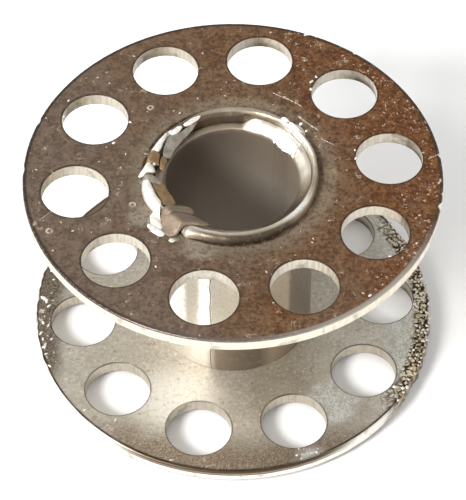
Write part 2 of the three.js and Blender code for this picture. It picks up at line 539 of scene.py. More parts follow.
def rim_bevel():
    """The rounded upper edge of the rim: a painted grey highlight at the front, painted dark shade at the
    sides.
    """
    paint = Paint("rim_bevel")
    grain = paint.noise(0.12, 3, 0.6, offset=4)
    paint.colour = paint.mix(grain.rise(0.45, 0.7, 0.0, 0.3), paint.bands(RIM_HIGHLIGHT_AND_SHADE), (0.5, 0.45, 0.38))
    return paint.finish(grain.rise(0.3, 0.8, 0.3, 0.5), grain, 0.01, 0.8)


WHITE = (0.97, 0.95, 0.89)
PALE = (0.56, 0.52, 0.45)
# The next colour stands for a dim painted highlight
DIM_HIGHLIGHT = (0.6, 0.55, 0.47)
CREAM = (0.66, 0.59, 0.47)
OLIVE = (0.5, 0.44, 0.34)
TAN = (0.38, 0.31, 0.22)
BROWN = (0.3, 0.19, 0.09)
DARK = (0.17, 0.13, 0.095)
# The next colour stands for deep painted shade
DEEP_SHADE = (0.085, 0.062, 0.04)
GREY = (0.5, 0.46, 0.385)


def curled_sleeve():
    """Hub sleeve: nickelled strip, scraped and stained, with painted highlights, reflections and shade in
    bands round the axis.
    """
    paint = Paint("curled_sleeve")
    grain = paint.noise(0.14, 4, 0.65, offset=2)
    scrape = paint.noise(0.3, 3, 0.7, offset=9)
    # Painted reflections, highlights and shade on the barrel and its foot, as bands round the axis
    barrel = paint.bands([
        (10, TAN), (190, CREAM), (221, WHITE), (232, WHITE), (235.5, GREY), (244, GREY), (246, WHITE),
        (252.5, WHITE), (254.5, GREY), (271, CREAM), (298, TAN), (313, TAN), (316, DARK), (340, DARK)], 6)
    foot = paint.bands([
        (10, TAN), (190, CREAM), (215, PALE), (250, PALE), (258, DARK), (290, DARK), (300, TAN),
        (340, DARK)])
    barrel = paint.mix(paint.z.rise(2.5, 5.0), foot, barrel)
    # Painted highlights (white, cream) and painted shade (dark) along the curl's crest and flank, with real
    # brown stains
    crest = paint.bands([
        (2, OLIVE), (14, CREAM), (34, WHITE), (44, WHITE), (52, CREAM), (58, TAN), (76, TAN), (92, OLIVE),
        (112, TAN), (119, DARK), (138.5, DARK), (140, WHITE), (160, WHITE), (161.5, DARK), (163, BROWN),
        (171, BROWN), (172.5, DARK), (174, WHITE), (179, GREY), (185, GREY), (186.5, DARK), (188, WHITE),
        (240, WHITE), (256, CREAM), (290, OLIVE), (304, CREAM), (318, WHITE), (330, WHITE), (338, CREAM),
        (348, TAN)])
    flank = paint.bands([
        (40, TAN), (60, OLIVE), (75, OLIVE), (84, TAN), (96, TAN), (108, DARK), (116, DEEP_SHADE), (134, DEEP_SHADE),
        (143, TAN), (150, WHITE), (160, WHITE), (163, BROWN), (172, BROWN), (174, WHITE), (186.5, DARK),
        (189, WHITE), (210, WHITE), (217, GREY), (240, CREAM), (250, DARK), (270, DEEP_SHADE), (308, DEEP_SHADE),
        (322, TAN)])
    radius = paint.radius()
    curl = paint.mix(radius.rise(4.03, 4.19), crest, flank)
    face = UPPER_FACE - COIN_DEPTH
    # Painted shade where the curl meets the flange face, faint on the +X side, and in the crease at the
    # curl's inner edge
    contact_shade = paint.z.rise(face, face + 0.12, 0.9, 0.0) * paint.x.rise(1.5, 3.6, 1.0, 0.1)
    contact_shade = contact_shade | radius.rise(3.85, 3.94, 0.85, 0.0)
    curl = paint.mix(contact_shade, curl, (0.1, 0.065, 0.04))
    paint.colour = paint.mix(paint.z.rise(UPPER_FACE - 0.6, UPPER_FACE - 0.4), barrel, curl)
    paint.coat(scrape.rise(0.52, 0.72, 0.0, 0.35), TAN)
    paint.coat(grain.rise(0.48, 0.75, 0.0, 0.35), DARK)
    return paint.finish(grain.rise(0.3, 0.8, 0.36, 0.5), grain + scrape * 2.0, 0.008, 0.65)


def liner_metal():
    """Liner: duller, browner tube, painted darker up inside the bore as shade, most towards -X. Its lip has
    painted highlights where it flares against the curl on the +X side, and painted shade at the front.
    """
    paint = Paint("liner_tube")
    grain = paint.noise(0.16, 4, 0.65, offset=2)
    # Painted shade up inside the bore, darker towards -X
    bore = paint.mix(paint.x.rise(-3.2, 2.2), (0.225, 0.182, 0.157), (0.48, 0.395, 0.305))
    paint.colour = paint.mix(paint.z.rise(5.0, 11.0), (0.6, 0.55, 0.48), bore)
    # Painted highlights (white, pale) where the lip faces the light, painted shade (dark) at the front, with
    # real brown stains
    lip = paint.bands([
        (4, DIM_HIGHLIGHT), (28, DIM_HIGHLIGHT), (34, WHITE), (50, WHITE), (57, DIM_HIGHLIGHT), (66, DIM_HIGHLIGHT), (70, WHITE),
        (78, WHITE), (82, TAN), (128, TAN), (140, CREAM), (150, CREAM), (165, TAN), (183, TAN),
        (190, (0.5, 0.32, 0.14)), (213, (0.38, 0.23, 0.1)), (235, DARK), (270, TAN), (286, DARK),
        (298, DEEP_SHADE), (326, DEEP_SHADE), (340, DARK), (352, TAN)])
    cracks = paint.seams(0.34, 2, 1.2).fall(0.02, 0.05) * paint.blob(2.75, 2.15, 0.4, 1.0)
    lip = paint.mix(cracks * 0.6, lip, (0.3, 0.24, 0.18))
    lip = paint.mix(grain.rise(0.52, 0.72, 0.0, 0.25), lip, TAN)
    height = paint.z + paint.x * 0.04  # so that the lip's painted highlight and shade reach lower on the +X side
    paint.coat(height.rise(LINER_TOP - 0.17, LINER_TOP - 0.05), lip)
    return paint.finish(grain.rise(0.3, 0.8, 0.42, 0.55), grain, 0.007, 0.8)


def torn_metal(name, pale, deep, metallic, depth=0.012):
    """Chips, burrs and smeared scraps: rough metal in two tones."""
    paint = Paint(name)
    grain = paint.noise(0.1, 4, 0.7, offset=2)
    cloud = paint.noise(0.45, 2, 0.6, offset=1)
    paint.colour = paint.mix(cloud.rise(0.35, 0.65), pale, deep)
    paint.coat(grain.rise(0.48, 0.75, 0.0, 0.5), tuple(channel * 0.5 for channel in deep))
    return paint.finish(grain.rise(0.3, 0.8, 0.42, 0.6), grain, depth, metallic)


upper_outer_steel = tarnished_face("upper_tarnished_face", UPPER_HOLE_TURN)
lower_outer_steel = tarnished_face("lower_tarnished_face", LOWER_HOLE_TURN)
upper_inner_steel = satin_face("satin_face", UPPER_HOLE_TURN)
lower_inner_steel = satin_face("worn_satin_face", LOWER_HOLE_TURN, worn=True)
rim_steel = punched_edge("rim_edge", (0.82, 0.75, 0.63), (0.72, 0.64, 0.52), UPPER_FACE)
lower_rim_steel = punched_edge("lower_rim_edge", (0.9, 0.88, 0.82), (0.82, 0.78, 0.7), LOWER_HIGH.z,
                               worn=True)
upper_hole_steel = punched_edge("upper_hole_edge", (0.63, 0.58, 0.5), (0.48, 0.435, 0.355), UPPER_FACE,
                                UPPER_HOLE_TURN)
# The lower holes' walls are a dimmer copy of the upper ones: painted shade under the upper flange
lower_hole_steel = punched_edge("lower_hole_edge", (0.53, 0.48, 0.4), (0.41, 0.365, 0.29), LOWER_HIGH.z,
                                LOWER_HOLE_TURN)
bevel_steel = rim_bevel()
sleeve_steel = curled_sleeve()
liner_steel = liner_metal()
chip_steel = torn_metal("bright_chip", (0.9, 0.88, 0.83), (0.74, 0.7, 0.61), 0.3)
fleck_steel = torn_metal("pale_fleck", (0.62, 0.55, 0.45), (0.45, 0.37, 0.28), 0.4)
scraped_steel = torn_metal("scraped_grey", (0.4, 0.36, 0.3), (0.28, 0.245, 0.195), 0.6)
stained_steel = torn_metal("brown_stain", (0.34, 0.21, 0.1), (0.24, 0.15, 0.075), 0.5)
golden_steel = torn_metal("golden_fleck", (0.6, 0.43, 0.26), (0.36, 0.2, 0.1), 0.4)
knob_steel = torn_metal("pitted_knob", (0.84, 0.81, 0.72), (0.5, 0.4, 0.26), 0.35)
tab_steel = torn_metal("brown_tab", (0.25, 0.185, 0.125), (0.18, 0.138, 0.098), 0.5, 0.02)


# --- Flanges ---

BAND_INNER = 5.3
BAND_OUTER = FLANGE_RADIUS - 0.35
INNER_STEPS = 14
OUTER_STEPS = 60
SIDE_STEPS = 16
BAND_LOOPS = 14
HOLE_EDGE_ROUND = 0.04
OUTER_ZONE, INNER_ZONE, EDGE_ZONE, RIM_ZONE, BEVEL_ZONE = range(5)

BORE_ROUND = 0.06
BORE_EDGE = FLANGE_BORE + BORE_ROUND
# (radius, depth) from the flat face down to the bore's rounded edge
COIN_PROFILE = [(BAND_INNER, 0), (5.2, 0.002), (5.1, 0.012), (5.0, 0.03), (4.9, 0.054), (4.8, 0.072),
                (4.68, COIN_DEPTH), (4.5, COIN_DEPTH), (4.3, COIN_DEPTH), (BORE_EDGE, COIN_DEPTH)]


def sector_outline(middle):
    """The boundary of one hole's sector of the disc, anticlockwise from its inner clockwise corner."""
    half = 180 / HOLE_COUNT
    sides = [
        (INNER_STEPS, (BAND_INNER, -half), (BAND_INNER, half)),
        (SIDE_STEPS, (BAND_INNER, half), (BAND_OUTER, half)),
        (OUTER_STEPS, (BAND_OUTER, half), (BAND_OUTER, -half)),
        (SIDE_STEPS, (BAND_OUTER, -half), (BAND_INNER, -half)),
    ]
    outline = []
    for steps, start, end in sides:
        for step in range(steps):
            share = step / steps
            radius = start[0] + (end[0] - start[0]) * share
            turn = start[1] + (end[1] - start[1]) * share
            outline.append(polar(radius, middle + turn))
    return outline


def hole_loop(centre, outline, radius):
    """Points on a circle round the hole's centre, each facing its partner on the sector's outline."""
    loop = []
    for x, y in outline:
        away = Vector((x - centre[0], y - centre[1])).normalized()
        loop.append((centre[0] + radius * away.x, centre[1] + radius * away.y))
    return loop


def quarter_round(steps=4):
    """(inward, down) shares of a rounded edge, from the flat to the wall."""
    turns = [math.pi / 2 * step / steps for step in range(steps + 1)]
    return [(1 - math.sin(turn), 1 - math.cos(turn)) for turn in turns]


def edge_profile(radius, size, outer_z, inner_z, up):
    """(radius, z) down a wall with rounded edges. A positive size rounds a hole, a negative one a rim."""
    drop = abs(size)
    outer = [(radius + size * inward, outer_z - up * drop * down) for inward, down in quarter_round()]
    inner = [(radius + size * inward, inner_z + up * drop * down) for inward, down in quarter_round()]
    steps = 4
    start, end = outer[-1][1], inner[-1][1]
    wall = [(radius, start + (end - start) * step / steps) for step in range(steps + 1)]
    return outer, wall, inner[::-1]


def flange(name, node, hole_turn, outer_z, inner_z, materials, change):
    """A punched disc: a band of sectors with one hole each, plain rings inside it, and the rim."""
    shell = Shell()
    up = 1 if outer_z > inner_z else -1
    sides = ((outer_z, OUTER_ZONE), (inner_z, INNER_ZONE))
    for index in range(HOLE_COUNT):
        middle = hole_turn + 360 / HOLE_COUNT * index
        centre = polar(HOLE_CIRCLE_RADIUS, middle)
        outline = sector_outline(middle)
        flat_edge = hole_loop(centre, outline, HOLE_RADIUS + HOLE_EDGE_ROUND)
        for z, zone in sides:
            rows = []
            for step in range(BAND_LOOPS + 1):
                share = (step / BAND_LOOPS) ** 1.3
                pairs = zip(flat_edge, outline)
                rows.append([(a[0] + (b[0] - a[0]) * share, a[1] + (b[1] - a[1]) * share, z)
                             for a, b in pairs])
            shell.rows(rows, zone)
        profile = edge_profile(HOLE_RADIUS, HOLE_EDGE_ROUND, outer_z, inner_z, up)
        for part, zone in zip(profile, (OUTER_ZONE, EDGE_ZONE, INNER_ZONE)):
            rows = [[(x, y, z) for x, y in hole_loop(centre, outline, radius)] for radius, z in part]
            shell.rows(rows, zone)

    start = hole_turn - 180 / HOLE_COUNT

    def rings(profile, count, zone):
        turns = [start + 360 / count * step for step in range(count)]
        shell.rows([[(*polar(radius, turn), z) for turn in turns] for radius, z in profile], zone)

    inner_count = HOLE_COUNT * INNER_STEPS
    outer_count = HOLE_COUNT * OUTER_STEPS
    rings([(radius, outer_z - up * depth) for radius, depth in COIN_PROFILE], inner_count, OUTER_ZONE)
    inner_radii = (BAND_INNER, 5.0, 4.6, 4.2, FLANGE_BORE)
    rings([(radius, inner_z) for radius in inner_radii], inner_count, INNER_ZONE)
    bore_top = outer_z - up * COIN_DEPTH
    bore = [(BORE_EDGE, bore_top), (FLANGE_BORE, bore_top - up * BORE_ROUND), (FLANGE_BORE, inner_z)]
    rings(bore, inner_count, EDGE_ZONE)

    margin = FLANGE_RADIUS - RIM_ROUND - BAND_OUTER
    for z, zone in sides:
        rings([(BAND_OUTER + margin * step / 4, z) for step in range(5)], outer_count, zone)
    profile = edge_profile(FLANGE_RADIUS, -RIM_ROUND, outer_z, inner_z, up)
    for part, zone in zip(profile, (BEVEL_ZONE, RIM_ZONE, RIM_ZONE)):
        rings(part, outer_count, zone)
    piece = shell.make(name, materials, change)
    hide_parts(node)


# Place in degrees, depth and half-width in degrees
RIM_NICKS = [(68.4, 0.1, 0.9), (53, 0.08, 0.7), (7.4, 0.1, 1.0), (349, 0.14, 1.6), (353.5, 0.07, 0.8),
             (160, 0.06, 1.5), (178, 0.05, 2.0)]


def nicked_rim(point):
    """How far the rim is worn back at a point, by light wear and by knocks."""
    radius = math.hypot(point[0], point[1])
    reach = smooth(radius, FLANGE_RADIUS - 0.5, FLANGE_RADIUS)
    if reach == 0:
        return 0
    turn = plan_angle(point)
    depth = 0.005 * (1 + wobble(point, 0.5, 3))
    for place, deep, half in RIM_NICKS:
        away = abs((turn - place + 180) % 360 - 180) / half
        if away < 1:
            depth += deep * (1 - away * away) ** 2
    return reach * depth


def upper_wear(point):
    """The upper flange is nicked at its rim, and its outer part is slightly uneven."""
    depth = nicked_rim(point)
    radius = math.hypot(point[0], point[1])
    shrink = 1 - depth / radius
    swell = 0.01 * wobble((point[0], point[1], 0), 3.0, 1)
    swell *= smooth(radius, 5.2, 6.0) * (1 - smooth(radius, 9.5, 10.1))
    return Vector((point[0] * shrink, point[1] * shrink, point[2] - abs(swell)))


def right_wear(x, y):
    """How badly the lower flange is eaten away at its +X side, from 0 to 1."""
    ragged = wobble((x, y, 0), 1.1, 6) * 1.1
    return smooth(x + ragged, 7.8, 9.2) * smooth(y, -7.6, -6.4)


def left_wear(x, y):
    """The same for its -X side."""
    ragged = wobble((x, y, 0), 1.1, 6) * 0.55
    return smooth(ragged - x, 9.0, 9.6) * smooth(y, -5.5, -4.0)


def lower_wear(point):
    """The lower flange is eaten away along its +X side, and a little at -X."""
    x, y, z = point
    radius = math.hypot(x, y)
    edge = smooth(radius, FLANGE_RADIUS - 0.6, FLANGE_RADIUS)
    right, left = right_wear(x, y), left_wear(x, y)
    depth = 0.012 * edge * (1 + wobble(point, 0.6, 4))
    depth += right * edge * 0.13 * (0.5 + wobble((x, y, 0), 0.45, 2) + 0.5 * wobble((x, y, 0), 0.2, 3))
    depth += left * edge * 0.08 * (0.6 + wobble((x, y, 0), 0.4, 5))
    shrink = 1 - max(depth, 0) / radius
    if z > (LOWER_LOW.z + LOWER_HIGH.z) / 2:
        near_rim = smooth(radius, 9.0, 9.6)
        z -= right * near_rim * 0.1 * abs(wobble((x, y, 0), 0.24, 8))
        z -= left * 0.05 * max(wobble((x, y, 0), 0.3, 9), 0)
    return Vector((x * shrink, y * shrink, z))


flange("upper_flange_disc", "upper_flange", UPPER_HOLE_TURN, UPPER_HIGH.z, UPPER_LOW.z,
       (upper_outer_steel, upper_inner_steel, upper_hole_steel, rim_steel, bevel_steel), upper_wear)
flange("lower_flange_disc", "lower_flange", LOWER_HOLE_TURN, LOWER_LOW.z, LOWER_HIGH.z,
       (lower_outer_steel, lower_inner_steel, lower_hole_steel, lower_rim_steel, bevel_steel), lower_wear)


# --- Hub sleeve ---

# Radii of the curl's outside and inside, and how far it is pinched down, as stops round the axis
CURL_OUTER = [(0, 4.17), (30, 4.28), (60, 4.33), (90, 4.34), (112, 4.28), (130, 4.17), (150, 4.23),
              (165, 4.3), (180, 4.4), (200, 4.58), (222, 4.5), (236, 4.62), (250, 4.38), (300, 4.3)]
CURL_INNER = [(5, 3.88), (40, 3.93), (72, 3.9), (90, 3.72), (130, 3.7), (160, 3.76), (190, 3.9), (212, 3.9),
              (240, 3.76), (340, 3.74)]
CURL_PINCH = [(168, 0), (175.5, 0.55), (179, 0.5), (184, 0), (211, 0), (217, 0.6), (232.5, 0.85),
              (236.5, 0.4), (241, 0)]
CURL_CUT_SHIFT = 20.5  # degrees from the barrel's seam back to the curl's cut end
CURL_CUT_REACH = 70  # how far round on both sides the drag dies out
CURL_CUT_GAP = 0.7
LIP_STEPS = 16
LIP_ANGLE = -13
SHEET = 0.19
CURL_HALF_HEIGHT = 0.34
LOWER_END_TURN = 140  # the lower end has the upper one's shape turned this far, pinched half as much


def curl_profile(degrees, pinch):
    """Pairs of points, (outside, underside), over the curl from the bore side to the lip."""
    outer = around(degrees, CURL_OUTER)
    inner = around(degrees, CURL_INNER)
    middle = (outer + inner) / 2
    half_width = (outer - inner) / 2
    low = UPPER_FACE - COIN_DEPTH
    pairs = []
    for step in range(LIP_STEPS + 1):
        turn = math.radians(180 + (LIP_ANGLE - 180) * step / LIP_STEPS)
        cosine, sine = math.cos(turn), math.sin(turn)
        outside = [middle + half_width * cosine, HEIGHT - CURL_HALF_HEIGHT * (1 - sine)]
        underside = [middle + (half_width - SHEET * 0.9) * cosine, outside[1] - SHEET * max(sine, 0)]
        underside[0] = max(underside[0], NECK_RADIUS)
        for point in (outside, underside):
            point[0] += (NECK_RADIUS - point[0]) * pinch * 0.6
            point[1] += (low - point[1]) * pinch * 0.8
        pairs.append((tuple(outside), tuple(underside)))
    return pairs


def sleeve_section(degrees, pinch):
    """Pairs of points, (bore side, barrel side), up the sheet from mid-height to the curl's lip."""
    shoulder = UPPER_LOW.z - 0.02
    heights = [MID_HEIGHT + (shoulder - MID_HEIGHT) * step / 12 for step in range(12)]
    pairs = [((SLEEVE_BORE, z), (BARREL_RADIUS, z)) for z in heights]
    pairs.append(((SLEEVE_BORE, UPPER_LOW.z), (BARREL_RADIUS - 0.03, shoulder)))
    pairs.append(((SLEEVE_BORE, UPPER_LOW.z + 0.1), (NECK_RADIUS, shoulder)))
    pairs.append(((SLEEVE_BORE, UPPER_LOW.z + 0.3), (NECK_RADIUS, UPPER_LOW.z + 0.3)))
    return pairs + curl_profile(degrees, pinch)


def from_seam(degrees):
    return (degrees - SLEEVE_SEAM_ANGLE + 180) % 360 - 180


def curl_shift(degrees):
    """How far the upper curl is dragged round, so that its cut end lies away from the barrel's seam."""
    return -CURL_CUT_SHIFT * max(1 - abs(from_seam(degrees)) / CURL_CUT_REACH, 0)


def sleeve_wear(point):
    """Uneven curl, and a torn edge along the seam."""
    x, y, z = point
    radius = math.hypot(x, y)
    turn = plan_angle(point)
    away = from_seam(turn)
    drag = smooth(z, UPPER_LOW.z - 0.1, UPPER_FACE - 0.15)
    turn += drag * (curl_shift(turn) + math.copysign(CURL_CUT_GAP, away) * (1 - smooth(abs(away), 0, 5)))
    curl = smooth(abs(z - MID_HEIGHT), MID_HEIGHT - 0.75, MID_HEIGHT - 0.5)
    radius += curl * 0.018 * wobble(point, 0.35, 2) + curl * 0.02 * wobble(point, 1.1, 5)
    z += curl * (0.02 * wobble(point, 0.7, 7) - 0.02) * (1 if z > MID_HEIGHT else -1)
    near_seam = 1 - smooth(abs(away), 1.2, 4.0)
    turn += near_seam * (1 - curl) * 1.1 * wobble((0, 0, z), 0.5, 1)
    x, y = polar(radius, turn)
    return Vector((x, y, z))


TUBE_COLUMNS = 720


def tube_shell(seam_angle, gap, column_at):
    """A tube with an open seam. column_at gives (bore side, wall side) points for an angle, low to high."""
    shell = Shell()
    columns = []
    for step in range(TUBE_COLUMNS + 1):
        degrees = seam_angle + gap / 2 + (360 - gap) * step / TUBE_COLUMNS
        bore_side, wall_side = column_at(degrees)
        columns.append([(*polar(radius, degrees), z) for radius, z in bore_side + wall_side[::-1]])
    shell.rows(columns)
    for column in (columns[0], columns[-1]):
        half = len(column) // 2
        shell.rows([column[:half], column[half:][::-1]], closed=False)
    return shell


def sleeve_column(degrees):
    curl_angle = degrees + curl_shift(degrees)
    top = sleeve_section(curl_angle, around(curl_angle, CURL_PINCH))
    calm_angle = degrees + LOWER_END_TURN
    calm = sleeve_section(calm_angle, around(calm_angle, CURL_PINCH) * 0.5)
    bottom = [((a[0], HEIGHT - a[1]), (b[0], HEIGHT - b[1])) for a, b in calm]
    pairs = bottom[::-1] + top[1:]
    return [a for a, _ in pairs], [b for _, b in pairs]


sleeve = tube_shell(SLEEVE_SEAM_ANGLE, 0.5, sleeve_column)
sleeve = sleeve.make("hub_sleeve_rolled", (sleeve_steel,), sleeve_wear)
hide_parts("hub_sleeve")


# --- Hub liner ---

# How far the liner's lip is flared out and up against the curl: 1 where the two touch
LINER_FLARE = [(12, 1), (72, 1), (84, 0), (160, 0), (182, 0.8), (190, 1), (210, 1), (240, 0.05), (325, 0),
               (355, 0.9)]
FLARE_SPREAD = 0.23
FLARE_LIFT = 0.27
LIP_ROWS = 8


def liner_column(degrees):
    flare = around(degrees, LINER_FLARE)
    start = LINER_TOP - 0.09 - 0.08 * flare
    lip_radius = LINER_RADIUS + FLARE_SPREAD * flare
    lip_top = LINER_TOP + FLARE_LIFT * flare
    root = LINER_TOP - 0.4
    bore_side = [(LINER_BORE, z) for z in (LINER_LOW.z, MID_HEIGHT, root)]
    wall_side = [(LINER_RADIUS, z) for z in (LINER_LOW.z, MID_HEIGHT, root)]
    for row in range(LIP_ROWS):
        share = row / (LIP_ROWS - 1)
        rise = math.sin(share * math.pi / 2) * (1 - 0.25 * flare) + 0.25 * flare * share
        inset = LINER_BORE + (lip_radius - 0.05 - LINER_BORE) * share ** (1.6 - 0.6 * flare)
        bore_side.append((inset, start + (lip_top - start) * rise))
        wall_side.append((LINER_RADIUS + (lip_radius - LINER_RADIUS) * share ** 2,
                          root + 0.05 + (lip_top - 0.04 - root - 0.05) * share))
    return bore_side, wall_side


def liner_wear(point):
    """An uneven lip, torn into the bore for a stretch on the +X side."""
    x, y, z = point
    lip = smooth(z, LINER_TOP - 0.3, LINER_TOP - 0.1)
    turn = plan_angle(point)
    torn = smooth(turn, 21, 27) * (1 - smooth(turn, 49, 54))
    radius = math.hypot(x, y)
    inner = 1 - smooth(radius, LINER_BORE, LINER_BORE + 0.3)
    tear = 0.35 + wobble((x, y, 0), 0.2, 2) + 0.5 * wobble((x, y, 0), 0.09, 6)
    radius -= torn * lip * inner * 0.2 * tear
    radius += lip * 0.012 * wobble(point, 0.6, 4)
    z += lip * 0.02 * wobble(point, 0.5, 5) + lip * torn * 0.06 * wobble(point, 0.16, 3)
    return Vector((*polar(radius, turn), z))


liner = tube_shell(LINER_SEAM_ANGLE, 1, liner_column)
liner = liner.make("hub_liner_tube", (liner_steel,), liner_wear)
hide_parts("hub_liner")


# --- Torn metal: the strip's smeared tab, chips and burrs ---

def lump(shell, centre, size, turn=0, rough=0.25, seed=0, steps=10, zone=0):
    """A closed irregular pebble of metal. size is its three half-lengths."""
    place = Matrix.Rotation(math.radians(turn), 3, "Z")
    rows = []
    for row in range(steps + 1):
        lift = math.pi * (row / steps - 0.5)
        ring = []
        for column in range(2 * steps):
            spin = math.pi * column / steps
            unit = Vector((math.cos(lift) * math.cos(spin), math.cos(lift) * math.sin(spin), math.sin(lift)))
            swell = 1 + rough * wobble(unit, 0.7, seed) + rough * 0.5 * wobble(unit, 0.3, seed + 1)
            point = Vector((unit.x * size[0], unit.y * size[1], unit.z * size[2])) * swell
            ring.append(tuple(place @ point + Vector(centre)))
        rows.append(ring)
    shell.rows(rows, zone)


def ring_top(x, y):
    """Height of the curl's rounded top, or of the flange round it, under a point in plan."""
    radius, turn = math.hypot(x, y), plan_angle((x, y))
    outer = around(turn, CURL_OUTER)
    crest = (outer + around(turn, CURL_INNER)) / 2
    face = UPPER_FACE - COIN_DEPTH
    if radius > crest:
        return face + (HEIGHT - face) * (1 - smooth(radius, crest, outer + 0.12))
    return HEIGHT - 0.3 * (1 - smooth(radius, 3.1, crest))


def spline(points, count):
    """A smooth closed curve through a few plan points."""
    curve = []
    total = len(points)
    for step in range(count):
        index, share = divmod(step * total / count, 1)
        a, b, c, d = (Vector(points[(int(index) + shift) % total]) for shift in (-1, 0, 1, 2))
        curve.append(0.5 * (2 * b + (c - a) * share + (2 * a - 5 * b + 4 * c - d) * share ** 2
                            + (3 * b - a - 3 * c + d) * share ** 3))
    return curve


def plate(shell, outline, thickness, lift=0.0, rough=0.03, seed=0, zone=0, count=72, rings=12):
    """A flattened scrap of metal with that outline, draped over the ring. lift raises it."""
    edge = spline(outline, count)
    middle = sum(edge, Vector((0, 0))) / count
    top, under = [], []
    for ring in range(rings + 1):
        share = ring / rings
        dome = math.sqrt(max(1 - share ** 2, 0))
        top_row, under_row = [], []
        for corner in edge:
            ragged = 1 + 3 * rough * share * wobble((*corner, 0), 0.22, seed)
            x, y = middle + (corner - middle) * share * ragged
            base = ring_top(x, y) + lift
            bump = wobble((x, y, 0), 0.3, seed + 1) + 0.5 * wobble((x, y, 0), 0.12, seed + 2)
            top_row.append((x, y, base + thickness * dome + rough * dome * bump))
            under_row.append((x, y, base - 0.1 * dome))
        top.append(top_row)
        under.append(under_row)
    shell.rows(top + under[-2::-1], zone)


# (thickness, lift, seed, outline in plan)
TAB_LAYERS = (
    (0.18, 0.02, 3, [(-3.58, -2.6), (-3.3, -2.3), (-2.65, -2.25), (-2.25, -2.2), (-1.9, -2.6),
     (-1.45, -2.95), (-0.85, -3.38), (-1.2, -3.6), (-1.95, -3.52), (-2.45, -3.66), (-2.7, -3.98),
     (-3.2, -4.02), (-3.5, -3.6), (-3.6, -3.1)]),
    (0.24, 0.06, 5, [(-3.56, -2.8), (-3.36, -2.34), (-2.8, -2.2), (-2.2, -2.1), (-1.84, -2.35),
     (-1.74, -2.72), (-2.15, -2.74), (-2.75, -2.8), (-3.25, -3.05)]),
)


def strip_tab():
    """The sleeve's strip end, hammered flat over the curl and folded once."""
    shell = Shell()
    for thickness, lift, seed, outline in TAB_LAYERS:
        plate(shell, outline, thickness, lift, 0.018, seed, count=96, rings=16)
    piece = shell.make("hub_sleeve_tab", (tab_steel,), soften=24)


WHITE_ZONE, SCRAPED_ZONE, STAINED_ZONE = range(3)

# (zone, thickness, lift, outline in plan)
SCRAPS = (
    # White facets of the curl on its -X side, from the back to the front: near-white scraps that stand in
    # for the curl's highlights, a painted highlight
    (WHITE_ZONE, 0.07, 0.02, [(-2.45, 2.95), (-1.95, 3.42), (-1.58, 3.55), (-1.72, 3.3), (-2.2, 2.92)]),
    (WHITE_ZONE, 0.07, 0.02, [(-3.12, 2.36), (-2.75, 2.78), (-2.48, 2.88), (-2.58, 2.6), (-2.92, 2.26)]),
    (WHITE_ZONE, 0.1, 0.03, [(-3.23, 2.49), (-3.45, 2.32), (-3.74, 1.94), (-3.97, 1.43), (-3.68, 1.18),
     (-3.5, 1.38), (-3.4, 1.74), (-3.22, 2.16)]),
    (WHITE_ZONE, 0.19, 0.06, [(-4.59, -0.03), (-4.41, 0.27), (-4.14, 0.45), (-3.81, 0.13), (-3.78, -0.16),
     (-4.18, -0.23), (-4.54, -0.19)]),
    (WHITE_ZONE, 0.1, 0.03, [(-4.34, -0.64), (-4.1, -0.64), (-3.9, -1.07), (-3.65, -1.7), (-3.4, -2.12),
     (-3.5, -2.37), (-3.83, -2.19), (-4.16, -1.63), (-4.44, -1.07)]),
    (WHITE_ZONE, 0.13, 0.03, [(-3.9, -2.4), (-3.5, -2.28), (-3.48, -2.8), (-3.36, -3.32), (-3.62, -3.5),
     (-3.9, -3.15), (-4.02, -2.75)]),
    (WHITE_ZONE, 0.13, 0.02, [(-4.16, -3.2), (-3.86, -3.02), (-3.6, -3.28), (-3.22, -3.72), (-3.38, -3.96),
     (-3.72, -3.82), (-4.02, -3.5)]),
    (WHITE_ZONE, 0.1, 0.02, [(-3.12, -4.15), (-2.95, -4.0), (-2.72, -4.12), (-2.88, -4.32)]),
    # Torn crumbs of the liner's lip on the +X side
    (WHITE_ZONE, 0.12, 0.05, [(2.75, 3.0), (2.92, 3.3), (3.3, 3.22), (3.58, 2.8), (3.5, 2.45), (3.2, 2.55),
     (2.95, 2.75)]),
    (WHITE_ZONE, 0.12, 0.08, [(2.35, 3.28), (2.62, 3.42), (2.85, 3.18), (2.6, 3.05)]),
    # Grey facets inside the white ones, and the fold beside the split
    (SCRAPED_ZONE, 0.08, 0.0, [(-3.2, 2.16), (-2.65, 2.5), (-2.1, 3.0), (-1.75, 3.2), (-2.08, 2.62),
     (-2.49, 2.1), (-2.9, 1.4), (-3.1, 0.95), (-3.45, 1.07)]),
    (SCRAPED_ZONE, 0.08, 0.0, [(-4.56, -0.37), (-4.13, -0.3), (-3.7, -0.37), (-3.42, -0.73), (-3.9, -0.8),
     (-4.39, -0.66)]),
    (SCRAPED_ZONE, 0.08, 0.0, [(-3.17, -3.98), (-2.8, -3.9), (-2.5, -4.02), (-2.7, -4.2)]),
    # Brown stains
    (STAINED_ZONE, 0.06, 0.02, [(-4.0, 1.28), (-3.56, 1.1), (-3.6, 0.71), (-3.63, 0.35), (-4.09, 0.49),
     (-4.05, 0.92)]),
    (STAINED_ZONE, 0.06, 0.02, [(-3.48, 1.0), (-3.2, 0.85), (-3.28, 0.42), (-3.38, 0.13), (-3.57, 0.27)]),
    (STAINED_ZONE, 0.06, -0.02, [(-3.97, -0.62), (-3.4, -0.67), (-3.18, -0.95), (-2.72, -1.94),
     (-3.13, -2.19), (-3.4, -2.08), (-3.68, -1.45)]),
)

# Small crumbs on the curl: centre and half-length
CRUMBS = ((-3.83, 0.36, 11.98, 0.09), (3.35, 2.98, 12.02, 0.09), (3.62, 2.6, 11.93, 0.07),
          (2.95, 2.66, 11.9, 0.08), (3.15, 2.35, 11.86, 0.07))


